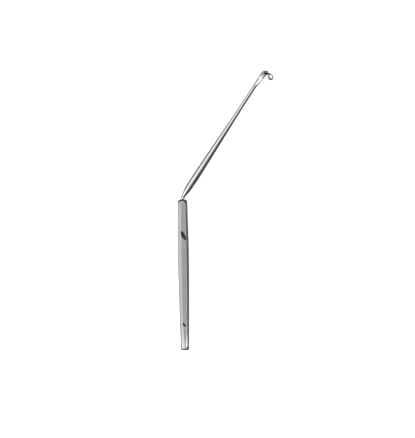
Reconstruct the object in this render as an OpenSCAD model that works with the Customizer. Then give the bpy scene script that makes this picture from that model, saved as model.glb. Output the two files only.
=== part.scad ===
// Angled loop instrument: an octagonal steel handle, a bent tapering shaft and a small wire loop.
// It lies on the back flat of its handle. +Y runs along the handle, +X is the side that the shaft
// leans to, and the origin is on the back flat, below the middle of the handle.

/* [Handle] */
// Length of the handle bar
handle_len = 105.3; // [95:0.1:115]
// Thickness between the front flat and the back flat
handle_t = 7; // [6.5:0.1:8]
// Greatest width across the two side faces
handle_w = 7.6; // [7.2:0.05:8.2]
// Width at the butt end
butt_w = 5.3; // [5:0.05:6]
// Width at the shoulder, where the shaft goes in
shoulder_w = 6.3; // [6:0.05:7]
// Distance from the butt end to the widest place
belly_y = 68; // [60:1:75]
// How the sides curve: 1 is two straight tapers, 2 is a parabola
crown = 1.4; // [1.2:0.1:2]
// Share of the width that the front flat takes, the bevels take the rest
flat_share = 0.5; // [0.42:0.01:0.56]
// Length of the end that has two long facets on each flat
facet_len = 17; // [12:1:22]
// Tilt of the left facet away from the flat
left_tilt = 22; // [15:1:28]
// Tilt of the right facet away from the flat
right_tilt = 12; // [8:1:20]

/* [Ground marks] */
// Radius of the wheel that ground the two slanted marks
wheel_r = 13; // [10:0.5:16]
// Radius of the wheel's rounded rim
rim_r = 2; // [1.8:0.1:2.6]
// Depth of the upper mark
upper_depth = 0.5; // [0.4:0.05:0.6]
// Depth of the lower mark
lower_depth = 0.17; // [0.1:0.01:0.25]
// Distance from the butt end to the upper mark
upper_mark_y = 80.1; // [70:0.1:90]
// Distance from the butt end to the lower mark
lower_mark_y = 17.8; // [17:0.1:30]

/* [Shaft] */
// Diameter of the round tang inside the handle
tang_d = 2.6; // [2.4:0.1:2.8]
// Length of the tang inside the handle
tang_len = 24; // [20:1:30]
// Angle between the handle and the straight run of the shaft
lean = 34.1; // [28:0.1:38]
// Diameter at the thickest place
belly_d = 4.9; // [4.4:0.05:5.2]
// Diameter at the thinnest place, below the head
waist_d = 2.7; // [2.3:0.05:2.9]
// Width of the flattened blade at its end
blade_w = 4.4; // [4:0.1:4.8]
// Thickness of the flattened blade at its end
blade_t = 0.9; // [0.8:0.05:1.1]

/* [Loop] */
// Diameter of the loop wire
wire_d = 1; // [0.9:0.05:1.15]
// Length of the oval along the middle of its wire
loop_len = 3.7; // [3.4:0.1:4.2]
// Width of the oval along the middle of its wire
loop_w = 2.9; // [2.6:0.1:3.3]
// How much wider the flattened lower side of the loop is than its upper side
loop_swell = 0.9; // [0.6:0.1:1.2]

/* [Pin] */
// Diameter of the cross pin that holds the tang
pin_d = 1.6; // [1.2:0.1:1.8]
// Distance from the shoulder to the cross pin
pin_depth = 11; // [8:0.5:15]

/* [Hidden] */
$fn = 64;

axis_z = handle_t / 2;
steps = 24;
far = 20;
facet_run_out = 1.2;

// Where the ground marks sit off the middle of the flat, and their slant from straight across.
upper_mark_x = 0;
lower_mark_x = -0.8;
upper_slant = 61;
lower_slant = 51;

// Turned ends, as [radius, distance from the end]: the rounded butt and the chamfered shoulder.
butt_profile = [[1.9, 0], [2.35, 0.15], [2.75, 0.4], [3.1, 0.8], [3.3, 1.3], [3.5, 2.2], [3.75, 3.2], [handle_w, 7]];
shoulder_profile = [[handle_w, 8], [3.6, 2.2], [3.42, 1.5], [3.17, 0.9], [2.75, 0.35], [2, 0]];

// The shaft's run along its centre line, measured from the shoulder.
stub_len = 0.95;
knee_r = 1.45;
knee_turn = 31;
easy_len = 6;
straight_start = stub_len + knee_r * knee_turn * PI / 180 + easy_len;
neck_end = 9.5;
belly_start = 18;
belly_end = 22;
waist_start = 76;
blade_start = 94.2;
blade_end = 105.3;
neck_share = 0.95;
blade_shift = 0.5;
ring_sides = 16;

// The rolled tip: a barrel along the blade's end, with the loop's stem in its bore.
roll_tilt = 13;
roll_len = 4.3;
roll_left = [-1.3, 106.1];
roll_rise = 1.1;
roll_profile = [
    [0, 0], [0.45, 0], [0.75, 0.22], [1.2, 1.5], [1.45, 2.6], [1.38, 3.5], [0.95, roll_len], [0, roll_len]
];
stem_in = 2.6;
stem_out = 1.5;
fillet = 0.35;
neck_fillet = 0.6;

// The oval: its middle in the frame of the head, and the tilt of its long axis.
oval_middle = [5.65, 106.1];
oval_tilt = -38;
oval_sides = 14;
oval_steps = 28;
mid_wire = 1.3;

function end_width(y) = y < belly_y ? butt_w : shoulder_w;
function end_run(y) = y < belly_y ? belly_y : handle_len - belly_y;
function bar_width(y) =
    handle_w - (handle_w - end_width(y)) * pow(abs(y - belly_y) / end_run(y), crown);
function bevel_reach(y) = (flat_share * bar_width(y) / 2 + handle_t / 2) / sqrt(2);
function ease(t) = (1 - cos(180 * min(max(t, 0), 1))) / 2;
function mix(a, b, t) = a + (b - a) * t;

// Heading of the shaft's centre line at run l, as an angle away from +Y.
function heading(l) =
    l < straight_start - easy_len ? knee_turn * (l - stub_len) / (straight_start - easy_len - stub_len)
    : l < straight_start ? mix(knee_turn, lean, (l - straight_start + easy_len) / easy_len)
    : lean;

// Points of the centre line, from the end of the stub, are summed in short steps.
bend_steps = 16;
bend_step = (straight_start - stub_len) / bend_steps;
function bend_run(i) = stub_len + i * bend_step;
function bend_point(i) =
    i <= 0 ? [0, handle_len + stub_len]
    : bend_point(i - 1) + bend_step * [sin(heading(bend_run(i - 0.5))), cos(heading(bend_run(i - 0.5)))];
function centre(l) =
    l < straight_start ? bend_point(round((l - stub_len) / bend_step))
    : bend_point(bend_steps) + (l - straight_start) * [sin(lean), cos(lean)];

function round_d(l) =
    l < neck_end ? mix(tang_d, neck_share * belly_d, ease((l - 2) / (neck_end - 2)))
    : l < belly_start ? mix(neck_share * belly_d, belly_d, (l - neck_end) / (belly_start - neck_end))
    : l < belly_end ? belly_d
    : l < waist_start ? mix(belly_d, waist_d, (l - belly_end) / (waist_start - belly_end))
    : waist_d;
function blade_part(l) = min(max((l - blade_start) / (blade_end - blade_start), 0), 1);
function section_w(l) = mix(round_d(l), blade_w, pow(blade_part(l), 1.25));
function section_t(l) = mix(round_d(l), blade_t, ease(1.1 * blade_part(l)));
function section_shift(l) = blade_shift * blade_part(l);

shaft_runs = concat(
    [for (i = [0 : bend_steps - 1]) bend_run(i)],
    [straight_start, neck_end + 3, belly_start],
    [belly_end, waist_start],
    [for (i = [0 : 8]) mix(blade_start, blade_end, i / 8)]
);

function section_point(l, a) =
    let (
        p = centre(l),
        side = section_shift(l) + section_w(l) / 2 * cos(a),
        up = section_t(l) / 2 * sin(a)
    )
    [p[0] + side * cos(heading(l)), p[1] - side * sin(heading(l)), axis_z + up];

// Everything is laid out from the butt end and the handle's back flat.
module from_butt() {
    translate([0, -handle_len / 2, 0]) children();
}

// Turns a shape drawn along +Z so that it runs along the handle's axis from distance y.
module along_handle(y) {
    translate([0, y, axis_z]) rotate([-90, 0, 0]) children();
}

// Frame of the head: x across the blade, y along the shaft, z up.
module at_head(across, run) {
    p = centre(run);
    translate([p[0], p[1], 0]) rotate(-lean) translate([across, 0, 0]) children();
}

module bar_outline(reach) {
    ys = [for (i = [0 : steps]) handle_len * i / steps];
    polygon(concat(
        [for (y = ys) [reach(y), y]],
        [for (i = [steps : -1 : 0]) [-reach(ys[i]), ys[i]]]
    ));
}

// Octagonal bar: flat front and back, curved sides, and bevels at 45 degrees between them.
module bar() {
    intersection() {
        linear_extrude(handle_t) bar_outline(function (y) bar_width(y) / 2);
        for_bevel(45);
        for_bevel(-45);
    }
}

module for_bevel(turn) {
    translate([0, 0, axis_z]) rotate([0, turn, 0]) translate([0, 0, -far / 2])
        linear_extrude(far) bar_outline(function (y) bevel_reach(y));
}

// Turned envelope that chamfers the shoulder and rounds the butt end.
module turned_ends() {
    along_handle(0) rotate_extrude()
        polygon(concat(
            [[0, 0]],
            butt_profile,
            [for (p = shoulder_profile) [p[0], handle_len - p[1]]],
            [[0, handle_len]]
        ));
}

// Wedge taken off one side of one flat near the butt end, which leaves a long bright facet.
module end_facet(tilt) {
    ridge_x = flat_share * bar_width(facet_len) / 2;
    translate([ridge_x, facet_len, handle_t])
        rotate(-atan(ridge_x / (facet_len - facet_run_out)))
            rotate([0, tilt, 0]) translate([0, -1.5 * facet_len, 0])
                cube([far, 1.5 * facet_len, far]);
}

module end_facets() {
    for (side = [0, 1], back = [0, 1])
        translate([0, 0, axis_z]) mirror([0, 0, back]) translate([0, 0, -axis_z])
            mirror([side, 0, 0]) end_facet(side == 0 ? right_tilt : left_tilt);
}

// Shallow leaf-shaped hollow left by the round rim of a grinding wheel held at a slant.
module ground_mark(x, y, slant, depth) {
    translate([x, y, handle_t + wheel_r - depth]) rotate(-slant) rotate([90, 0, 0])
        rotate_extrude() translate([wheel_r - rim_r, 0]) circle(r = rim_r);
}

// Round tang, which stands straight out of the shoulder a little farther than the braze fillet.
module tang() {
    along_handle(handle_len - tang_len) cylinder(h = tang_len + stub_len, d = tang_d);
}

module tang_bore() {
    along_handle(handle_len - tang_len) cylinder(h = tang_len + 1, d = tang_d);
}

module pin_space() {
    translate([0, handle_len - pin_depth, axis_z]) rotate([0, 90, 0])
        cylinder(h = far, d = pin_d, center = true);
}

module handle() {
    color([0.62, 0.62, 0.63]) from_butt() difference() {
        intersection() {
            bar();
            turned_ends();
        }
        end_facets();
        tang_bore();
        pin_space();
        ground_mark(upper_mark_x, upper_mark_y, upper_slant, upper_depth);
        ground_mark(lower_mark_x, lower_mark_y, lower_slant, lower_depth);
    }
}

// Swept body of the shaft, round at the neck and flattened into a blade at the head.
module swept_shaft() {
    n = ring_sides;
    last = len(shaft_runs) - 1;
    polyhedron(
        points = [for (l = shaft_runs) for (k = [0 : n - 1]) section_point(l, 360 * k / n)],
        faces = concat(
            [[for (k = [n - 1 : -1 : 0]) k]],
            [for (i = [0 : last - 1]) for (k = [0 : n - 1])
                [i * n + k, i * n + (k + 1) % n, (i + 1) * n + (k + 1) % n]],
            [for (i = [0 : last - 1]) for (k = [0 : n - 1])
                [i * n + k, (i + 1) * n + (k + 1) % n, (i + 1) * n + k]],
            [[for (k = [0 : n - 1]) last * n + k]]
        )
    );
}

// Frame of the rolled tip: z runs along the roll, from its small end to its mouth.
module at_roll() {
    at_head(roll_left[0], roll_left[1])
        translate([0, 0, axis_z + roll_rise]) rotate(roll_tilt) rotate([0, 90, 0]) children();
}

module blade_tip() {
    at_head(0, blade_end) translate([blade_shift, 0, axis_z - blade_t / 2]) linear_extrude(blade_t)
        polygon([
            [-blade_w / 2, -0.6], [-blade_w / 2, 0.2], [-blade_w / 2 + 0.5, 1],
            [blade_w / 2, 1.6], [blade_w / 2, -0.6]
        ]);
}

module stem_space() {
    at_roll() translate([0, 0, roll_len - stem_in]) cylinder(h = stem_in + 1, d = wire_d);
}

module shaft() {
    color([0.86, 0.86, 0.87]) from_butt() difference() {
        union() {
            tang();
            swept_shaft();
            blade_tip();
            at_roll() rotate_extrude() polygon(roll_profile);
        }
        stem_space();
        pin_space();
    }
}

module tang_pin() {
    color([0.7, 0.7, 0.71]) from_butt() intersection() {
        bar();
        pin_space();
    }
}

// Fillet of braze metal around a round stem, concave from the seat to the stem.
module braze_fillet(stem_r, size) {
    rotate_extrude()
        polygon(concat(
            [[stem_r, 0]],
            [for (a = [0 : 15 : 90]) [stem_r + size * (1 - sin(a)), size * (1 - cos(a))]]
        ));
}

module neck_braze() {
    color([0.75, 0.72, 0.66]) from_butt() along_handle(handle_len)
        braze_fillet(tang_d / 2, neck_fillet);
}

// Point of the oval's skin: t goes round the oval, a goes round its wire.
function oval_point(t, a) =
    let (
        middle = [loop_len / 2 * cos(t), loop_w / 2 * sin(t)],
        out = [loop_w * cos(t), loop_len * sin(t)] / norm([loop_w * cos(t), loop_len * sin(t)]),
        high = (middle[0] * sin(oval_tilt) + middle[1] * cos(oval_tilt)) / norm(middle),
        reach = (mid_wire - loop_swell / 2 * high) / 2 * cos(a)
    )
    [middle[0] + reach * out[0], middle[1] + reach * out[1], wire_d / 2 * sin(a)];

// Closed oval of wire, hammered wider along its lower side.
module oval() {
    n = oval_sides;
    m = oval_steps;
    polyhedron(
        points = [for (i = [0 : m - 1]) for (k = [0 : n - 1]) oval_point(360 * i / m, 360 * k / n)],
        faces = concat(
            [for (i = [0 : m - 1]) for (k = [0 : n - 1])
                [i * n + k, i * n + (k + 1) % n, ((i + 1) % m) * n + (k + 1) % n]],
            [for (i = [0 : m - 1]) for (k = [0 : n - 1])
                [i * n + k, ((i + 1) % m) * n + (k + 1) % n, ((i + 1) % m) * n + k]]
        )
    );
}

module loop() {
    color([0.8, 0.8, 0.81]) from_butt() {
        at_roll() translate([0, 0, roll_len - stem_in])
            cylinder(h = stem_in + stem_out, d = wire_d);
        at_head(oval_middle[0], oval_middle[1])
            translate([0, 0, axis_z + roll_rise]) rotate(oval_tilt) oval();
    }
}

module loop_braze() {
    color([0.75, 0.72, 0.66]) from_butt() at_roll() translate([0, 0, roll_len])
        braze_fillet(wire_d / 2, fillet);
}

handle();
shaft();
tang_pin();
neck_braze();
loop();
loop_braze();
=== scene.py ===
"""Angled loop instrument: a satin octagonal handle, a bent polished shaft and a small wire loop.

Shapes are drawn in millimetres in the butt frame: y runs from the butt end along the handle, x is the
side that the shaft leans to, and z stands up from the back flat. place() takes them to the row frame.
"""

import math

import bmesh
import bpy
import numpy as np
from mathutils import Matrix, Vector


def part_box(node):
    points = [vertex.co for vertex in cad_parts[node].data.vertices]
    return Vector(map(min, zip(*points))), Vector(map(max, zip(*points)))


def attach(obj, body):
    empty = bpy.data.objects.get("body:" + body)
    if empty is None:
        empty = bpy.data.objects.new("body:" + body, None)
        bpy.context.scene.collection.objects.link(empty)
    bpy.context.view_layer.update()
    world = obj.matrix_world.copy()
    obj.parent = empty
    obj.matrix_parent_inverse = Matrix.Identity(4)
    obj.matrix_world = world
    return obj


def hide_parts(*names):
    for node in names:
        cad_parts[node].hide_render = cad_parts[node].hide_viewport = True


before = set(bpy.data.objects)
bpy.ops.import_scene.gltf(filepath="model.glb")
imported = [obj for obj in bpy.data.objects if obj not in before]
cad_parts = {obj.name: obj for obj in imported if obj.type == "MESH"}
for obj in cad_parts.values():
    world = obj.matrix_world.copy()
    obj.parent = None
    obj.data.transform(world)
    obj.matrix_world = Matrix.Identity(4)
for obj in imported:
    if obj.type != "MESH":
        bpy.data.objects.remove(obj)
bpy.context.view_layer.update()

MM = 0.001
handle_low, handle_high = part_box("handle")

# Handle
HANDLE_LEN = (handle_high.y - handle_low.y) / MM
HANDLE_T = (handle_high.z - handle_low.z) / MM
HANDLE_W = (handle_high.x - handle_low.x) / MM
BUTT_W = 5.3
SHOULDER_W = 6.3
BELLY_Y = 68
CROWN = 1.4
FLAT_SHARE = 0.5
FACET_LEN = 17
LEFT_TILT, RIGHT_TILT = math.radians(22), math.radians(12)
FACET_RUN_OUT = 1.2
BUTT_PROFILE = (
    (0, 1.9), (0.15, 2.35), (0.4, 2.75), (0.8, 3.1), (1.3, 3.3), (2.2, 3.5), (3.2, 3.75), (7, HANDLE_W)
)
SHOULDER_PROFILE = ((0, 2), (0.35, 2.75), (0.9, 3.17), (1.5, 3.42), (2.2, 3.6), (8, HANDLE_W))
AXIS_Z = HANDLE_T / 2

# Handle's mesh: how softly its surfaces meet, the share of a radial distance that lies across the end cones,
# and how far the cones' corners are rounded
EDGE_SOFTNESS = 0.055
CONE_SHARE = 0.8
CONE_ROUNDING = 0.12
# Extra points round its edges and over its flat, as strength and reach in radians
EDGE_CROWD = (8, 0.04)
FLAT_CROWD = (1.2, 0.4)
# Steps along it at its ends, at the marks and between them, and how far those zones reach
END_STEP, MARK_STEP, BAR_STEP = 0.06, 0.1, 0.8
END_ZONE, MARK_ZONE = 3.5, 4.5
LEAST_STEP = 0.025
# Width of the first ring of faces round the tang's bore
BORE_LIP = 0.3
# Points nearer than this are one point after a cut
MERGE = 0.0003

# Ground marks on the front flat: middle, slant from straight across, and depth
WHEEL_R = 13
RIM_R = 2
MARKS = (
    (0, 80.1, math.radians(61), 0.5),
    (-0.8, 17.8, math.radians(51), 0.17),
)

# Shaft
TANG_D = 2.6
TANG_LEN = 24
LEAN = math.radians(34.1)
KNEE_TURN = math.radians(31)
KNEE_R = 1.45
STUB_LEN = 0.95
NECK_FILLET = 0.6
EASY_LEN = 6
KNEE_END = STUB_LEN + KNEE_R * KNEE_TURN
STRAIGHT_START = KNEE_END + EASY_LEN
NECK_END = 9.5
BELLY_START, BELLY_END = 18, 22
BELLY_D = 4.9
NECK_D = 0.95 * BELLY_D
WAIST_START = 76
WAIST_D = 2.7
BLADE_START, BLADE_END = 94.2, 105.3
BLADE_W = 4.4
BLADE_T = 0.9
BLADE_SHIFT = 0.5
# How late the blade widens, how early it reaches its thickness, and how square its section ends
BLADE_SPREAD, BLADE_THINNING, BLADE_SQUARENESS = 1.25, 1.1, 0.62
GUTTER_DEPTH, GUTTER_W = 0.1, 0.45
PIN_D = 1.6
PIN_DEPTH = 11
PIN_PLAY = 0.02
PIN_SHORT = 0.015

# Rolled tip and loop
ROLL_TILT = math.radians(13)
ROLL_OUTLINE = ((0.22, 0.75), (1.5, 1.2), (2.6, 1.45), (3.5, 1.38), (4.3, 0.95))
ROLL_LEN = 4.3
ROLL_ACROSS, ROLL_RUN = -1.3, 106.1
ROLL_RISE = 1.1
STEM_IN, STEM_OUT = 2.6, 1.5
WIRE_D = 1
OVAL_LEN, OVAL_W = 3.7, 2.9
OVAL_ACROSS, OVAL_RUN = 5.65, 106.1
OVAL_TILT = math.radians(-38)
OVAL_MID_WIRE, OVAL_SWELL = 1.3, 0.9
LOOP_FILLET = 0.35
# In the loop's own place on the head: where its stem joins it, and the middle of its eye
LOOP_ROOT = (-1.85, 1.0)
EYE_MIDDLE = (-0.1, 0.3)

# Strength of the painted shade, a near-black base colour standing in for shade: 0 is clean steel and 1 is
# near-black
ROLL_PAINTED_SHADE, NECK_PAINTED_SHADE, BLADE_PAINTED_SHADE, EYE_PAINTED_SHADE = 0.5, 0.6, 0.5, 0.75


# ---------------------------------------------------------------- mesh helpers

def place(points):
    """Butt-frame millimetres to row-frame metres."""
    shifted = np.asarray(points, float).reshape(-1, 3) + [0, handle_low.y / MM, handle_low.z / MM]
    return shifted * MM


def add_mesh(name, points, faces):
    """A smooth-shaded mesh object from butt-frame points."""
    mesh = bpy.data.meshes.new(name)
    mesh.from_pydata(place(points).tolist(), [], faces)
    mesh.shade_smooth()
    mesh.validate()
    obj = bpy.data.objects.new(name, mesh)
    bpy.context.scene.collection.objects.link(obj)
    return obj


def ring_faces(rings, around, closed=False):
    """Quads between successive rings of a tube; a closed tube joins its last ring to its first."""
    faces = []
    for i in range(rings if closed else rings - 1):
        j = (i + 1) % rings
        for k in range(around):
            m = (k + 1) % around
            faces.append((i * around + k, i * around + m, j * around + m, j * around + k))
    return faces


def capped_tube(name, rings):
    """Closed skin over rings of points, with a fan of triangles at each end."""
    rings = np.asarray(rings, float)
    count, around = rings.shape[:2]
    points = np.vstack([rings.reshape(-1, 3), rings[0].mean(0), rings[-1].mean(0)])
    first, last = count * around, count * around + 1
    faces = ring_faces(count, around)
    faces += [(first, (k + 1) % around, k) for k in range(around)]
    end = (count - 1) * around
    faces += [(last, end + k, end + (k + 1) % around) for k in range(around)]
    return add_mesh(name, points, faces)


def turned(name, profile, matrix, around=64, closed=False):
    """Profile of (radius, height) pairs turned about z, placed by a butt-frame matrix."""
    angles = [2 * math.pi * k / around for k in range(around)]
    rings = [[matrix @ Vector((r * math.cos(a), r * math.sin(a), h)) for a in angles] for r, h in profile]
    if closed:
        points = [p for ring in rings for p in ring]
        return add_mesh(name, points, ring_faces(len(rings), around, closed=True))
    return capped_tube(name, rings)


def combine(obj, other, operation):
    """Exact union or difference of two closed meshes, applied at once; the other object goes.

    Points that the cut leaves almost on top of each other are merged.
    """
    modifier = obj.modifiers.new(operation, "BOOLEAN")
    modifier.operation = operation
    modifier.solver = "EXACT"
    modifier.object = other
    bpy.context.view_layer.update()
    solved = obj.evaluated_get(bpy.context.evaluated_depsgraph_get())
    mesh = bpy.data.meshes.new_from_object(solved)
    obj.modifiers.clear()
    solid = bmesh.new()
    solid.from_mesh(mesh)
    bmesh.ops.remove_doubles(solid, verts=solid.verts, dist=MERGE * MM)
    solid.to_mesh(mesh)
    solid.free()
    obj.data = mesh
    bpy.data.objects.remove(other)
    return obj


def smooth_by_angle(obj, degrees):
    """Smooth shading that keeps a crisp line where two faces meet at more than this angle."""
    obj.data.shade_smooth()
    obj.data.set_sharp_from_angle(angle=math.radians(degrees))


def store_shade_mask(obj, name, mask):
    """Stores a mask of painted shade, worked out from butt-frame points, for the material to read."""
    attribute = obj.data.attributes.new(name, "FLOAT", "POINT")
    low = Vector((0, handle_low.y / MM, handle_low.z / MM))
    values = [mask(vertex.co / MM - low) for vertex in obj.data.vertices]
    attribute.data.foreach_set("value", values)


def finish_piece(obj, node, material):
    """Gives a piece its material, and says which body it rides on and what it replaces."""
    obj.data.materials.append(material)
    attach(obj, "root")
    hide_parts(node)
    return obj


def ease(t):
    return (1 - np.cos(np.pi * np.clip(t, 0, 1))) / 2


def fade(value, start, end):
    """0 at the start, 1 at the end, eased between them."""
    return float(ease((value - start) / (end - start)))


def mix(a, b, t):
    return a + (b - a) * t


# ---------------------------------------------------------------- handle

def bar_width(y):
    end_w = np.where(y < BELLY_Y, BUTT_W, SHOULDER_W)
    end_run = np.where(y < BELLY_Y, BELLY_Y, HANDLE_LEN - BELLY_Y)
    return HANDLE_W - (HANDLE_W - end_w) * (np.abs(y - BELLY_Y) / end_run) ** CROWN


def end_radius(y):
    """Radius of the turned envelope that rounds the butt and chamfers the shoulder."""
    butt = np.interp(y, *zip(*BUTT_PROFILE))
    return np.minimum(butt, np.interp(HANDLE_LEN - y, *zip(*SHOULDER_PROFILE)))


def soft_end_radius(y):
    """The same radius with the corners between its cones rounded, short of the two end faces."""
    reach = np.minimum(CONE_ROUNDING, np.minimum(y, HANDLE_LEN - y))
    return sum(end_radius(y + reach * offset) for offset in np.linspace(-1, 1, 7)) / 7


def facet_hinge():
    """Half width of the flat where the butt facets begin, and the turn of their hinge line."""
    half = float(FLAT_SHARE * bar_width(np.array(FACET_LEN)) / 2)
    return half, math.atan(half / (FACET_LEN - FACET_RUN_OUT))


def mark_distance(x, y, z, mark):
    """How far a point is inside the round-rimmed wheel that ground a mark; z is from the handle's axis."""
    mark_x, mark_y, slant, depth = mark
    along = (x - mark_x) * math.cos(slant) - (y - mark_y) * math.sin(slant)
    across = (x - mark_x) * math.sin(slant) + (y - mark_y) * math.cos(slant)
    spoke = np.hypot(along, z - (HANDLE_T / 2 + WHEEL_R - depth)) - (WHEEL_R - RIM_R)
    return RIM_R - np.hypot(spoke, across)


def outside_handle(x, y, z):
    """Soft maximum of the distances outside each surface that bounds the bar."""
    ax, az = np.abs(x), np.abs(z)
    width = bar_width(y)
    half, turn = facet_hinge()
    reach = (FLAT_SHARE * width / 2 + HANDLE_T / 2) / math.sqrt(2)
    tilt = np.where(x < 0, LEFT_TILT, RIGHT_TILT)
    facet = (
        np.sin(tilt) * (math.cos(turn) * (ax - half) - math.sin(turn) * (y - FACET_LEN))
        + np.cos(tilt) * (az - HANDLE_T / 2)
    )
    distances = [ax - width / 2, az - HANDLE_T / 2, (ax + az) / math.sqrt(2) - reach]
    distances += [(np.hypot(x, z) - soft_end_radius(y)) * CONE_SHARE, facet]
    distances += [mark_distance(x, y, z, mark) for mark in MARKS]
    stack = np.stack([np.broadcast_to(d, x.shape) for d in distances])
    top = stack.max(0)
    return top + EDGE_SOFTNESS * np.log(np.exp((stack - top) / EDGE_SOFTNESS).sum(0))


def edge_angles(y, tilt):
    """Polar angles, in the first quarter, of the edges that cross one side of the section at y."""
    half, turn = facet_hinge()
    width = float(bar_width(np.array(y)))
    flat = FLAT_SHARE * width / 2
    ridge = min(max(half + (y - FACET_LEN) * math.tan(turn), 0.02), flat)
    total = flat + HANDLE_T / 2
    slope = math.tan(tilt)
    lower = min(max((total - HANDLE_T / 2 - ridge * slope) / (1 - slope), flat), width / 2)
    corners = [(width / 2, total - width / 2), (lower, total - lower), (ridge, HANDLE_T / 2)]
    return [math.atan2(z, x) for x, z in corners]


def section_angles(y, around):
    """Angles round the section, crowded together at its edges and over the front flat."""
    grid = np.linspace(-math.pi / 2, 3 * math.pi / 2, 4001)
    strength, reach = FLAT_CROWD
    density = 1 + strength * np.exp(-(((grid - math.pi / 2) / reach) ** 2) / 2)
    edges = [sign * angle for angle in edge_angles(y, RIGHT_TILT) for sign in (1, -1)]
    edges += [math.pi + sign * angle for angle in edge_angles(y, LEFT_TILT) for sign in (1, -1)]
    strength, reach = EDGE_CROWD
    for edge in edges:
        gap = (grid - edge + math.pi) % (2 * math.pi) - math.pi
        density = density + strength * np.exp(-((gap / reach) ** 2) / 2)
    total = np.concatenate([[0], np.cumsum((density[1:] + density[:-1]) / 2)])
    return np.interp(np.arange(around) / around * total[-1], total, grid)


def handle_stations():
    """Distances from the butt at which the handle's section is drawn."""
    top = HANDLE_LEN - END_ZONE
    parts = [[0, 0.03, 0.07, 0.11], np.arange(0.15, END_ZONE, END_STEP), np.arange(END_ZONE, top, BAR_STEP)]
    parts += [np.arange(mark[1] - MARK_ZONE, mark[1] + MARK_ZONE, MARK_STEP) for mark in MARKS]
    parts += [np.arange(top, HANDLE_LEN - 0.05, END_STEP), [HANDLE_LEN]]
    stations = np.unique(np.round(np.concatenate(parts), 3))
    return stations[np.concatenate([[True], np.diff(stations) > LEAST_STEP])]


def handle_rings(around):
    ys = handle_stations()
    angles = np.stack([section_angles(y, around) for y in ys])
    ys = ys[:, None] + 0 * angles
    low, high = np.zeros_like(angles), np.full_like(angles, HANDLE_W)
    for _ in range(32):
        middle = (low + high) / 2
        out = outside_handle(middle * np.cos(angles), ys, middle * np.sin(angles)) > 0
        high, low = np.where(out, middle, high), np.where(out, low, middle)
    return np.stack([low * np.cos(angles), ys, AXIS_Z + low * np.sin(angles)], -1)


def bore_rings(last_ring):
    """Rings that carry the skin from the shoulder's end face down the bore of the tang."""
    middle = np.array([0, HANDLE_LEN, AXIS_Z])
    spokes = last_ring - middle
    spokes /= np.linalg.norm(spokes, axis=1)[:, None]
    radius = TANG_D / 2
    mouth = middle + spokes * (radius + BORE_LIP)
    depths = np.concatenate([[0], np.linspace(0.5, TANG_LEN, 14)])
    return [mouth] + [middle + spokes * radius - [0, d, 0] for d in depths]


def pin_bore():
    """A cylinder across the handle where the pin goes."""
    matrix = Matrix.Translation((0, HANDLE_LEN - PIN_DEPTH, AXIS_Z)) @ Matrix.Rotation(math.pi / 2, 4, "Y")
    radius = PIN_D / 2 + PIN_PLAY
    return turned("pin_bore", [(radius, -HANDLE_W), (radius, HANDLE_W)], matrix, around=48)


def hollow_mask(point):
    """Painted shade: 1 on the floor of the ground marks, fading to 0 at their rims."""
    if point.z < AXIS_Z:
        return 0.0
    near = max(float(mark_distance(point.x, point.y, point.z - AXIS_Z, mark)) for mark in MARKS)
    return fade(near, -0.07, -0.01)


def add_handle():
    rings = handle_rings(around=216)
    rings = np.concatenate([rings, bore_rings(rings[-1])])
    obj = capped_tube("handle_bar", rings[:, ::-1])
    combine(obj, pin_bore(), "DIFFERENCE")
    smooth_by_angle(obj, 40)
    store_shade_mask(obj, "hollow", hollow_mask)
    return finish_piece(obj, "handle", darkened(satin_steel(), "hollow", 2600))


# ---------------------------------------------------------------- shaft

def heading(run):
    """Angle of the shaft's centre line away from +y, at a distance from the shoulder."""
    turn = KNEE_TURN * np.clip((run - STUB_LEN) / (KNEE_END - STUB_LEN), 0, 1)
    return turn + (LEAN - KNEE_TURN) * np.clip((run - KNEE_END) / EASY_LEN, 0, 1)


# The shaft's centre line, summed in short steps from the shoulder.
LINE_STEP = 0.01
LINE_RUNS = np.arange(0, BLADE_END + 3, LINE_STEP)
LINE_HEADINGS = heading(LINE_RUNS + LINE_STEP / 2)
LINE_X = np.concatenate([[0], np.cumsum(np.sin(LINE_HEADINGS) * LINE_STEP)[:-1]])
LINE_Y = HANDLE_LEN + np.concatenate([[0], np.cumsum(np.cos(LINE_HEADINGS) * LINE_STEP)[:-1]])


def centre(run):
    """Point of the centre line; before the shoulder it runs straight down the handle's axis."""
    x = np.interp(run, LINE_RUNS, LINE_X)
    y = np.interp(run, LINE_RUNS, LINE_Y)
    return x, y + np.minimum(run, 0)


def round_d(run):
    knots = [NECK_END, BELLY_START, BELLY_END, WAIST_START]
    beyond = np.interp(run, knots, [NECK_D, BELLY_D, BELLY_D, WAIST_D])
    return np.where(run < NECK_END, mix(TANG_D, NECK_D, ease((run - 2) / (NECK_END - 2))), beyond)


def softened_round_d(run):
    """The same diameter with the corners between its tapers rounded off."""
    spread = np.clip((run - 6) / 4, 0, 1) * 2.5
    offsets = np.linspace(-1, 1, 9)
    return sum(round_d(run + spread * offset) for offset in offsets) / len(offsets)


def blade_part(run):
    """0 on the round shaft, 1 at the end of the blade."""
    return min(max((run - BLADE_START) / (BLADE_END - BLADE_START), 0), 1)


def shaft_width(run):
    round_width = float(softened_round_d(np.array(float(run))))
    return mix(round_width, BLADE_W, blade_part(run) ** BLADE_SPREAD)


def shaft_thickness(run):
    round_width = float(softened_round_d(np.array(float(run))))
    return mix(round_width, BLADE_T, float(ease(BLADE_THINNING * blade_part(run))))


def shaft_section(run, around):
    """One section of the swept shaft, round at the neck and a flat blade with a gutter at the head."""
    part = blade_part(run)
    width, thickness = shaft_width(run), shaft_thickness(run)
    squareness = mix(1, BLADE_SQUARENESS, part ** 3)
    angles = 2 * np.pi * np.arange(around) / around
    cosine, sine = np.cos(angles), np.sin(angles)
    across = width / 2 * np.sign(cosine) * np.abs(cosine) ** squareness
    up = thickness / 2 * np.sign(sine) * np.abs(sine) ** squareness
    gutter = GUTTER_DEPTH * fade(part, 0.2, 0.7)
    up = up - np.where(sine > 0, gutter * np.exp(-((across / GUTTER_W) ** 2)), 0)
    return across + BLADE_SHIFT * part, up


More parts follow.
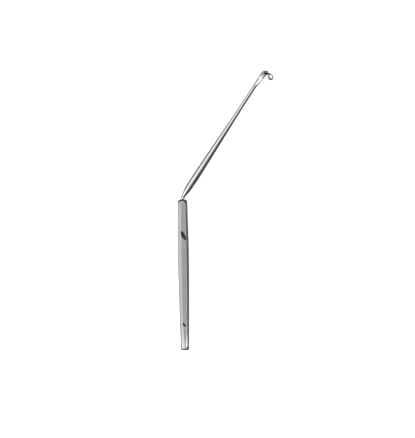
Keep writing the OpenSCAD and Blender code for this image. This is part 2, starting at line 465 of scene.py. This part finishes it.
def shaft_ring(run, around):
    across, up = shaft_section(run, around)
    x, y = centre(run)
    turn = float(heading(np.array(float(run))))
    return np.stack([x + across * math.cos(turn), y - across * math.sin(turn), AXIS_Z + up], -1)


def blade_end_ring(t, around):
    """One of the rings that carry the blade on under the roll and round off its end."""
    across, up = shaft_section(BLADE_END, around)
    left, right = across.min(), across.max()
    share = (across - left) / (right - left)
    across = mix(left + 0.5 * t ** 2, right, share)
    along = t * mix(0.9, 1.5, share)
    x, y = centre(BLADE_END)
    return np.stack([
        x + across * math.cos(LEAN) + along * math.sin(LEAN),
        y - across * math.sin(LEAN) + along * math.cos(LEAN),
        AXIS_Z + up * (1 - 0.3 * t ** 4),
    ], -1)


def swept_shaft(around=96):
    """Rings along the tang, the bend, the belly, the taper, the waist, the blade and the blade's end."""
    # Start, end and step of each stretch
    spans = (
        (-22, -0.1, 2),
        (0, STRAIGHT_START + 1, 0.15),
        (STRAIGHT_START + 1, BELLY_END + 6, 0.6),
        (BELLY_END + 6, WAIST_START - 5, 2.4),
        (WAIST_START - 5, BLADE_START, 0.8),
        (BLADE_START, BLADE_END, 0.15),
    )
    runs = [[-TANG_LEN, -TANG_LEN + 0.3]] + [np.arange(*span) for span in spans] + [[BLADE_END]]
    runs = np.concatenate(runs)
    rings = [shaft_ring(run, around) for run in runs]
    rings += [blade_end_ring(t, around) for t in np.linspace(0.1, 1, 10)]
    return capped_tube("shaft_rod", rings)


def head_matrix(across, run):
    """Frame of the head: x across the blade, y along the shaft, z up."""
    x, y = centre(run)
    return Matrix.Translation((x, y, 0)) @ Matrix.Rotation(-LEAN, 4, "Z") @ Matrix.Translation((across, 0, 0))


def roll_matrix():
    """Frame of the rolled tip: z runs from its small end to its mouth."""
    return (
        head_matrix(ROLL_ACROSS, ROLL_RUN)
        @ Matrix.Translation((0, 0, AXIS_Z + ROLL_RISE))
        @ Matrix.Rotation(ROLL_TILT, 4, "Z")
        @ Matrix.Rotation(math.pi / 2, 4, "Y")
    )


def roll_profile():
    """Small end rounded over, then the barrel, the mouth's rim and the bore for the stem."""
    heights, radii = zip(*ROLL_OUTLINE)
    low, small_r = ROLL_OUTLINE[0]
    small = [(small_r * math.sin(a), low * (1 - math.cos(a))) for a in np.linspace(0.1, math.pi / 2, 8)]
    smooth = np.poly1d(np.polyfit(heights[:-1], radii[:-1], 3))
    barrel = [(float(smooth(h)), h) for h in np.linspace(low, heights[-2], 20)[1:]]
    mouth_r, rim_r = radii[-2], radii[-1]
    rim = [
        (mix(rim_r, mouth_r, math.cos(a)), mix(heights[-2], ROLL_LEN, math.sin(a)))
        for a in np.linspace(0.2, math.pi / 2, 8)
    ]
    bore = [(WIRE_D / 2, ROLL_LEN), (WIRE_D / 2, ROLL_LEN - STEM_IN)]
    return small + barrel + rim + bore


def crease_mask(point):
    """Painted shade: 1 in the crease between the blade and the roll, part of that on the roll, and 0 beyond
    them.
    """
    in_roll = roll_matrix().inverted() @ point
    height, toward_blade = in_roll.z, -in_roll.y
    ends = fade(height, 0.4, 1.6) * fade(height, 4.25, 3.75)
    crease = ends * fade(toward_blade, -0.5, 0) * fade(toward_blade, 1.8, 1.3)
    on_roll = fade(toward_blade, 1.1, 0.7) * fade(height, -0.3, 0)
    return max(crease, ROLL_PAINTED_SHADE * on_roll)


def along_shaft(point):
    """Run along the shaft's centre line, and distance across it, of a point near the line."""
    run = (point.y - HANDLE_LEN) / math.cos(LEAN)
    for _ in range(5):
        x, y = centre(run)
        turn = float(heading(run))
        aside, ahead = point.x - x, point.y - y
        run += aside * math.sin(turn) + ahead * math.cos(turn)
    return run, aside * math.cos(turn) - ahead * math.sin(turn)


def edge_shade_mask(point):
    """Faint painted shade down the left of the neck and the blade, and low on the right of the neck, for the
    dark edges there.
    """
    run, across = along_shaft(point)
    side = (across - BLADE_SHIFT * blade_part(run)) / (shaft_width(run) / 2)
    above_shoulder = fade(run, 0, 1)
    neck_left = fade(side, -0.4, -0.7) * above_shoulder * fade(run, 12, 8)
    neck_right = fade(side, 0.1, 0.4) * above_shoulder * fade(run, 4.5, 2.5)
    blade_left = fade(side, -0.3, -0.6) * fade(run, 91, 96)
    return max(NECK_PAINTED_SHADE * neck_left, NECK_PAINTED_SHADE * neck_right, BLADE_PAINTED_SHADE * blade_left)


def add_shaft():
    obj = swept_shaft()
    combine(obj, pin_bore(), "DIFFERENCE")
    combine(obj, turned("roll", roll_profile(), roll_matrix()), "UNION")
    smooth_by_angle(obj, 35)
    # Painted shade in the crease and along the shaft's edges, stored for the material
    store_shade_mask(obj, "crease", lambda point: max(crease_mask(point), edge_shade_mask(point)))
    return finish_piece(obj, "shaft", shade_painted_steel())


def add_tang_pin():
    """Cross pin, a hair short of the side faces, with its edges broken."""
    y = HANDLE_LEN - PIN_DEPTH
    half = float(bar_width(np.array(y))) / 2 - PIN_SHORT
    radius = PIN_D / 2
    edge, corner = 0.1, 0.03
    profile = [(radius - edge, -half), (radius - corner, -half + corner), (radius, -half + edge)]
    profile += [(radius, -half + half * t) for t in (0.4, 0.8, 1.2, 1.6)]
    profile += [(radius, half - edge), (radius - corner, half - corner), (radius - edge, half)]
    matrix = Matrix.Translation((0, y, AXIS_Z)) @ Matrix.Rotation(math.pi / 2, 4, "Y")
    obj = turned("tang_cross_pin", profile, matrix, around=48)
    smooth_by_angle(obj, 50)
    return finish_piece(obj, "tang_pin", satin_steel("pin_steel", tone=0.5))


# ---------------------------------------------------------------- loop and braze

def oval_ring(t, matrix, around=32):
    """Section of the loop at t round its oval; the wire is hammered wider along the lower side."""
    middle = np.array([OVAL_LEN / 2 * math.cos(t), OVAL_W / 2 * math.sin(t)])
    out = np.array([OVAL_W * math.cos(t), OVAL_LEN * math.sin(t)])
    out /= np.linalg.norm(out)
    high = (middle[0] * math.sin(OVAL_TILT) + middle[1] * math.cos(OVAL_TILT)) / np.linalg.norm(middle)
    reach = (OVAL_MID_WIRE - OVAL_SWELL / 2 * high) / 2
    angles = 2 * np.pi * np.arange(around) / around
    flat = middle + np.outer(np.cos(angles) * reach, out)
    return [matrix @ Vector((x, y, WIRE_D / 2 * math.sin(a))) for (x, y), a in zip(flat, angles)]


def root_mask(point):
    """Painted shade: 1 where the stem meets the loop, and part of that along the inside of its lower left."""
    flat = head_matrix(OVAL_ACROSS, OVAL_RUN).inverted() @ point
    from_root = math.dist(flat.xy, LOOP_ROOT)
    from_eye = math.dist(flat.xy, EYE_MIDDLE)
    lower_left = fade(flat.x + flat.y, 0.9, -0.3) * fade(from_eye, 1.75, 1.25)
    return max(fade(from_root, 1.0, 0.3), EYE_PAINTED_SHADE * lower_left)


def add_loop(steps=96):
    plane = (
        head_matrix(OVAL_ACROSS, OVAL_RUN)
        @ Matrix.Translation((0, 0, AXIS_Z + ROLL_RISE))
        @ Matrix.Rotation(OVAL_TILT, 4, "Z")
    )
    points = [point for i in range(steps) for point in oval_ring(2 * math.pi * i / steps, plane)]
    obj = add_mesh("wire_loop", points, ring_faces(steps, len(points) // steps, closed=True))
    stem = [(WIRE_D / 2, mix(ROLL_LEN - STEM_IN, ROLL_LEN + STEM_OUT, t)) for t in np.linspace(0, 1, 12)]
    combine(obj, turned("stem", stem, roll_matrix(), around=32), "UNION")
    smooth_by_angle(obj, 50)
    store_shade_mask(obj, "crease", root_mask)
    return finish_piece(obj, "loop", shade_painted_steel("loop_steel", tone=0.36, rough=0.32))


def fillet_profile(stem_r, size):
    """Concave fillet from its seat to the stem, as a closed profile."""
    turns = np.linspace(0, math.pi / 2, 10)
    arc = [(stem_r + size * (1 - math.sin(a)), size * (1 - math.cos(a))) for a in turns]
    return [(stem_r - 0.01, -0.01), (stem_r + size, -0.01)] + arc + [(stem_r - 0.01, size)]


def add_neck_braze():
    matrix = Matrix.Translation((0, HANDLE_LEN, AXIS_Z)) @ Matrix.Rotation(-math.pi / 2, 4, "X")
    obj = turned("neck_fillet", fillet_profile(TANG_D / 2, NECK_FILLET), matrix, closed=True)
    smooth_by_angle(obj, 50)
    return finish_piece(obj, "neck_braze", braze("neck_braze_metal"))


def add_loop_braze():
    matrix = roll_matrix() @ Matrix.Translation((0, 0, ROLL_LEN))
    obj = turned("loop_fillet", fillet_profile(WIRE_D / 2, LOOP_FILLET), matrix, closed=True)
    smooth_by_angle(obj, 50)
    return finish_piece(obj, "loop_braze", braze("loop_braze_metal"))


# ---------------------------------------------------------------- materials

def new_material(name):
    material = bpy.data.materials.new(name)
    material.use_nodes = True
    return material, material.node_tree.nodes, material.node_tree.links


def new_metal(name):
    material, nodes, links = new_material(name)
    shader = nodes["Principled BSDF"]
    shader.inputs["Metallic"].default_value = 1.0
    return material, nodes, links, shader


def noise(nodes, links, scale, stretch=(1, 1, 1), detail=4.0):
    """Noise over object coordinates in metres; stretch lengthens the grain along an axis."""
    coords = nodes.new("ShaderNodeTexCoord")
    mapping = nodes.new("ShaderNodeMapping")
    mapping.inputs["Scale"].default_value = stretch
    texture = nodes.new("ShaderNodeTexNoise")
    texture.inputs["Scale"].default_value = scale
    texture.inputs["Detail"].default_value = detail
    links.new(coords.outputs["Object"], mapping.inputs["Vector"])
    links.new(mapping.outputs["Vector"], texture.inputs["Vector"])
    return texture.outputs["Fac"]


def spread(nodes, links, value, low, high):
    """Maps the useful middle of a noise onto a range."""
    node = nodes.new("ShaderNodeMapRange")
    node.inputs["From Min"].default_value = 0.3
    node.inputs["From Max"].default_value = 0.7
    node.inputs["To Min"].default_value = low
    node.inputs["To Max"].default_value = high
    links.new(value, node.inputs["Value"])
    return node.outputs["Result"]


def grey_ramp(nodes, links, value, dark, light):
    """Two neutral metal greys, mixed by a noise."""
    node = nodes.new("ShaderNodeValToRGB")
    node.color_ramp.elements[0].position = 0.3
    node.color_ramp.elements[1].position = 0.7
    node.color_ramp.elements[0].color = (dark, dark, dark * 1.01, 1)
    node.color_ramp.elements[1].color = (light, light, light * 1.01, 1)
    links.new(value, node.inputs["Fac"])
    return node.outputs["Color"]


def bump(nodes, links, height, strength, distance):
    node = nodes.new("ShaderNodeBump")
    node.inputs["Strength"].default_value = strength
    node.inputs["Distance"].default_value = distance
    links.new(height, node.inputs["Height"])
    return node.outputs["Normal"]


def satin_steel(name="satin_steel", tone=0.4, rough=0.3):
    """Steel brushed along its length, with soft cloudy handling wear."""
    material, nodes, links, shader = new_metal(name)
    brushed = noise(nodes, links, 3200, (1, 0.03, 1))
    cloud = noise(nodes, links, 160, (1, 0.4, 1), detail=6)
    links.new(grey_ramp(nodes, links, cloud, tone * 0.95, tone * 1.04), shader.inputs["Base Color"])
    links.new(spread(nodes, links, cloud, rough * 0.9, rough * 1.12), shader.inputs["Roughness"])
    links.new(bump(nodes, links, brushed, 0.12, 0.00002), shader.inputs["Normal"])
    return material


def polished_steel(name="polished_steel", tone=0.68, rough=0.1):
    """Buffed steel with faint cloudy patches and the hairlines that polishing leaves."""
    material, nodes, links, shader = new_metal(name)
    cloud = noise(nodes, links, 220, detail=6)
    hairline = noise(nodes, links, 4200, (1, 0.05, 1))
    links.new(grey_ramp(nodes, links, cloud, tone * 0.96, tone * 1.03), shader.inputs["Base Color"])
    links.new(spread(nodes, links, cloud, rough * 0.85, rough * 1.2), shader.inputs["Roughness"])
    links.new(bump(nodes, links, hairline, 0.04, 0.00001), shader.inputs["Normal"])
    return material


def darkened(material, attribute, size):
    """Paints shade: blends the base colour to a mottled near-black where the stored mask is 1."""
    nodes, links = material.node_tree.nodes, material.node_tree.links
    shader = nodes["Principled BSDF"]
    mask = nodes.new("ShaderNodeAttribute")
    mask.attribute_name = attribute
    clean = shader.inputs["Base Color"].links[0].from_socket
    mottle = noise(nodes, links, size, detail=5)
    blend = nodes.new("ShaderNodeMix")
    blend.data_type = "RGBA"
    links.new(mask.outputs["Fac"], blend.inputs["Factor"])
    links.new(clean, blend.inputs["A"])
    links.new(grey_ramp(nodes, links, mottle, 0.03, 0.06), blend.inputs["B"])
    links.new(blend.outputs["Result"], shader.inputs["Base Color"])
    return material


def shade_painted_steel(*args, **settings):
    """Polished steel with painted shade, near-black in creases, at joints and along its shaded edges."""
    return darkened(polished_steel(*args, **settings), "crease", 1500)


def braze(name):
    """Silver braze metal, blotchy where flux was cleaned off."""
    material, nodes, links, shader = new_metal(name)
    blotch = noise(nodes, links, 900, detail=5)
    links.new(grey_ramp(nodes, links, blotch, 0.45, 0.6), shader.inputs["Base Color"])
    links.new(spread(nodes, links, blotch, 0.15, 0.3), shader.inputs["Roughness"])
    links.new(bump(nodes, links, blotch, 0.3, 0.00003), shader.inputs["Normal"])
    return material


# ---------------------------------------------------------------- stage, light and camera

# Floor and backdrop, in metres
FLOOR_RADIUS = 3
FLOOR_DROP = 0.00002
FLOOR_GLOW = 0.75
BACKDROP_RADIUS = 2.9
# Card off the butt end: place, size, tilt and strength
CARD_AT = (0.5, -7.3, 18.6)
CARD_SIZE = (19, 5)
CARD_TILT = math.radians(36)
CARD_GLOW = 2.5


def hide_from(obj, *rays):
    """Keeps an object of the stage out of some kinds of ray."""
    for ray in rays:
        setattr(obj, "visible_" + ray, False)


def glow(name, strength, size, low):
    """A black surface that shines, almost evenly."""
    material, nodes, links = new_material(name)
    shader = nodes["Principled BSDF"]
    shader.inputs["Base Color"].default_value = (0, 0, 0, 1)
    shader.inputs["Specular IOR Level"].default_value = 0.0
    shader.inputs["Emission Strength"].default_value = strength
    links.new(grey_ramp(nodes, links, noise(nodes, links, size), low, 1.0), shader.inputs["Emission Color"])
    return material


def add_floor():
    material, nodes, links = new_material("pale_floor")
    shader = nodes["Principled BSDF"]
    shader.inputs["Roughness"].default_value = 0.9
    shader.inputs["Specular IOR Level"].default_value = 0.0
    shader.inputs["Emission Color"].default_value = (1, 1, 1, 1)
    shader.inputs["Emission Strength"].default_value = FLOOR_GLOW
    tint = noise(nodes, links, 3)
    links.new(grey_ramp(nodes, links, tint, 0.93, 0.96), shader.inputs["Base Color"])
    bpy.ops.mesh.primitive_circle_add(
        vertices=96, radius=FLOOR_RADIUS, fill_type="NGON", location=(0, 0, -FLOOR_DROP)
    )
    floor = bpy.context.object
    floor.name = "floor"
    floor.data.materials.append(material)
    hide_from(floor, "glossy")


def add_butt_card():
    """A small bright card off the butt end, seen only in reflections, for the gleam on its rounded edge."""
    bpy.ops.mesh.primitive_plane_add(size=MM, location=tuple(place(CARD_AT)[0]), rotation=(CARD_TILT, 0, 0))
    card = bpy.context.object
    card.name = "butt_card"
    card.scale = (*CARD_SIZE, 1)
    card.data.materials.append(glow("card_glow", CARD_GLOW, 90, 0.95))
    hide_from(card, "camera", "diffuse", "shadow")


def add_backdrop():
    """A pale shell round everything that only the camera sees, for the rays that miss the floor."""
    bpy.ops.mesh.primitive_uv_sphere_add(segments=64, ring_count=32, radius=BACKDROP_RADIUS)
    shell = bpy.context.object
    shell.name = "backdrop"
    shell.data.materials.append(glow("pale_backdrop", 1.0, 3, 0.98))
    hide_from(shell, "diffuse", "glossy", "shadow", "transmission")


# Across the shaft, toward its right
LIGHT_AXIS = (math.cos(LEAN), -math.sin(LEAN), 0)
# Brightness of the surroundings by angle from overhead, in degrees, from the left of the shaft to its right
SURROUNDINGS = (
    (-180, 0.1), (-130, 0.05), (-110, 0.07), (-96, 0.12), (-80, 0.32), (-60, 0.68), (-42, 0.96), (-26, 0.94),
    (-10, 0.76), (4, 0.5), (19, 0.24), (34, 0.085), (50, 0.052), (66, 0.047), (86, 0.055), (106, 0.09),
    (140, 0.1), (180, 0.1),
)
SURROUNDINGS_GAIN = 1.4
# Share of it that is left toward the two ends of the handle, and where the shading starts and is full
END_SHADE = 0.22
END_SHADE_FROM, END_SHADE_TO = 0.58, 0.88
# Soft lamps: angle from overhead, direction round from +x, radii of the full and of the faded disc, strength
LAMPS = (
    (29, 3, 5, 11, 6.0),
    (68, 181, 20, 38, 1.15),
    (15, 56, 4, 9, 0.5),
    (90, 6, 12, 30, 0.22),
)


def math_node(nodes, links, operation, *values):
    node = nodes.new("ShaderNodeMath")
    node.operation = operation
    for socket, value in zip(node.inputs, values):
        if isinstance(value, (int, float)):
            socket.default_value = value
        else:
            links.new(value, socket)
    return node.outputs[0]


def dot_node(nodes, links, vector, direction):
    node = nodes.new("ShaderNodeVectorMath")
    node.operation = "DOT_PRODUCT"
    links.new(vector, node.inputs[0])
    node.inputs[1].default_value = direction
    return node.outputs["Value"]


def step_node(nodes, links, value, start, end, low, high):
    node = nodes.new("ShaderNodeMapRange")
    node.interpolation_type = "SMOOTHSTEP"
    for socket, number in zip(("From Min", "From Max", "To Min", "To Max"), (start, end, low, high)):
        node.inputs[socket].default_value = number
    links.new(value, node.inputs["Value"])
    return node.outputs["Result"]


def lamp_node(nodes, links, direction, lamp):
    """A round soft patch of light in the surroundings."""
    polar, azimuth, full, faded = [math.radians(angle) for angle in lamp[:4]]
    aim = (math.sin(polar) * math.cos(azimuth), math.sin(polar) * math.sin(azimuth), math.cos(polar))
    facing = dot_node(nodes, links, direction, aim)
    return step_node(nodes, links, facing, math.cos(faded), math.cos(full), 0, lamp[4])


def add_world():
    """Soft studio surroundings: a broad bright side on the left, a dark side on the right, soft lamps."""
    world = bpy.data.worlds.new("studio")
    world.use_nodes = True
    bpy.context.scene.world = world
    nodes, links = world.node_tree.nodes, world.node_tree.links
    direction = nodes.new("ShaderNodeTexCoord").outputs["Generated"]
    side = dot_node(nodes, links, direction, LIGHT_AXIS)
    up = dot_node(nodes, links, direction, (0, 0, 1))
    angle = math_node(nodes, links, "ARCTAN2", side, up)
    turn = math_node(nodes, links, "ADD", math_node(nodes, links, "DIVIDE", angle, 2 * math.pi), 0.5)
    ramp = nodes.new("ShaderNodeValToRGB")
    elements = ramp.color_ramp.elements
    while len(elements) > 1:
        elements.remove(elements[-1])
    for i, (degrees, level) in enumerate(SURROUNDINGS):
        element = elements[0] if i == 0 else elements.new(0.5 + degrees / 360)
        element.position = 0.5 + degrees / 360
        element.color = (level, level, level, 1)
    links.new(turn, ramp.inputs["Fac"])
    lengthwise = math_node(nodes, links, "ABSOLUTE", dot_node(nodes, links, direction, (0, 1, 0)))
    shade = step_node(nodes, links, lengthwise, END_SHADE_FROM, END_SHADE_TO, 1, END_SHADE)
    gain = math_node(nodes, links, "MULTIPLY", shade, SURROUNDINGS_GAIN)
    light = math_node(nodes, links, "MULTIPLY", ramp.outputs["Color"], gain)
    for lamp in LAMPS:
        light = math_node(nodes, links, "ADD", light, lamp_node(nodes, links, direction, lamp))
    links.new(light, nodes["Background"].inputs["Color"])
    nodes["Background"].inputs["Strength"].default_value = 1.0


CAMERA_AT = (17.33, 91.5)
CAMERA_ROLL = math.radians(-1.0)
CAMERA_LEAN = math.radians(4)
CAMERA_SPAN = 306.6
CAMERA_AWAY = 0.5


def add_camera():
    """Looks down on the front, without perspective, from a little to the left of straight above."""
    data = bpy.data.cameras.new("camera")
    data.type = "ORTHO"
    data.ortho_scale = CAMERA_SPAN * MM
    camera = bpy.data.objects.new("camera", data)
    bpy.context.scene.collection.objects.link(camera)
    x, y, z = place((*CAMERA_AT, AXIS_Z))[0]
    turn = Matrix.Rotation(-CAMERA_LEAN, 4, "Y") @ Matrix.Rotation(CAMERA_ROLL, 4, "Z")
    camera.matrix_world = Matrix.Translation((x, y, z)) @ turn @ Matrix.Translation((0, 0, CAMERA_AWAY))
    bpy.context.scene.camera = camera


def corners(box):
    return [list(corner) for corner in box]


add_handle()
add_shaft()
add_tang_pin()
add_neck_braze()
add_loop()
add_loop_braze()
add_floor()
add_butt_card()
add_backdrop()
add_world()
add_camera()
bpy.context.scene.view_settings.view_transform = "Standard"
